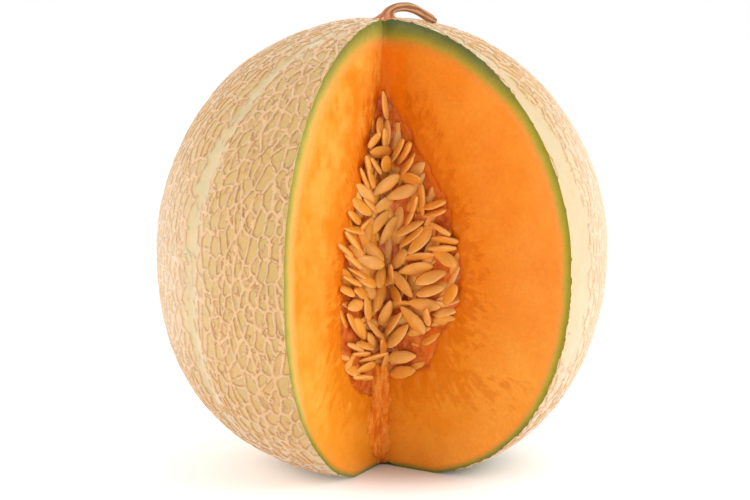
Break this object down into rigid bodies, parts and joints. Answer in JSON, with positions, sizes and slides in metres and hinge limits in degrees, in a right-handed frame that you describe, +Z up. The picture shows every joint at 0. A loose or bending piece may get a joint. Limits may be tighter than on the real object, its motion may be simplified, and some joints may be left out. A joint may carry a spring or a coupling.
{
  "type": "cut cantaloupe melon",
  "caption": "Netted orange-fleshed melon standing on its base, one wedge cut out from crown to base, seeds and pulp in the hollow, dry curled stem on top.",
  "frame": {"origin": "middle of the part's bounding box, on the surface that it stands on", "axes": "+Z up along the melon's axis, base to stem; the wedge opens towards -Y; X across the opening"},
  "size_m": [0.1592, 0.1446, 0.1658],
  "materials": {
    "rind": "dry corky net in raised lines over a khaki skin, smooth pale bands between the ribs",
    "flesh": "moist cut fruit flesh, orange, turning yellow and green under the rind",
    "seed": "wet smooth tan seed coat",
    "pulp": "wet stringy dark orange pulp",
    "stem": "dry ridged brown stalk"
  },
  "bodies": {
    "root": {"melon": "rind", "seeds": "seed", "stem": "stem"}
  },
  "joints": []
}
